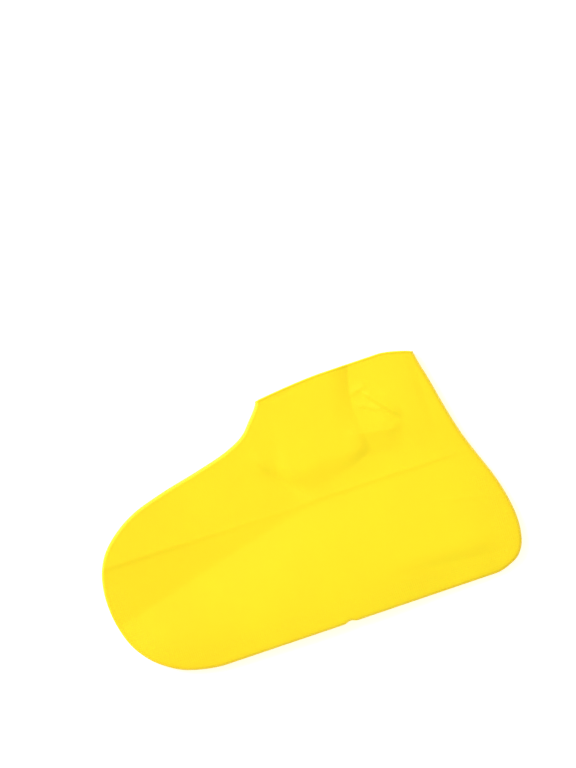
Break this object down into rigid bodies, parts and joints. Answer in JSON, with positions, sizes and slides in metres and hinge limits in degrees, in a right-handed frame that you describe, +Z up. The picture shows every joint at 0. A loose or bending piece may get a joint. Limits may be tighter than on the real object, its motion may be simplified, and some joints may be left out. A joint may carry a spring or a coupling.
{
  "type": "latex shoe cover",
  "caption": "Ankle-high latex shoe cover, lying flat on its side: a thin foot-shaped pocket with a beaded mouth.",
  "frame": {"origin": "centre of the lying cover's outline, on the surface that it lies on", "axes": "+X from toe to heel, +Y from sole to mouth, +Z up out of the wall that faces the viewer"},
  "size_m": [0.28, 0.1654, 0.0126],
  "materials": {
    "yellow_latex": "matt, fine grained, slightly translucent"
  },
  "bodies": {
    "root": {"shoe_cover": "yellow_latex"}
  },
  "joints": []
}
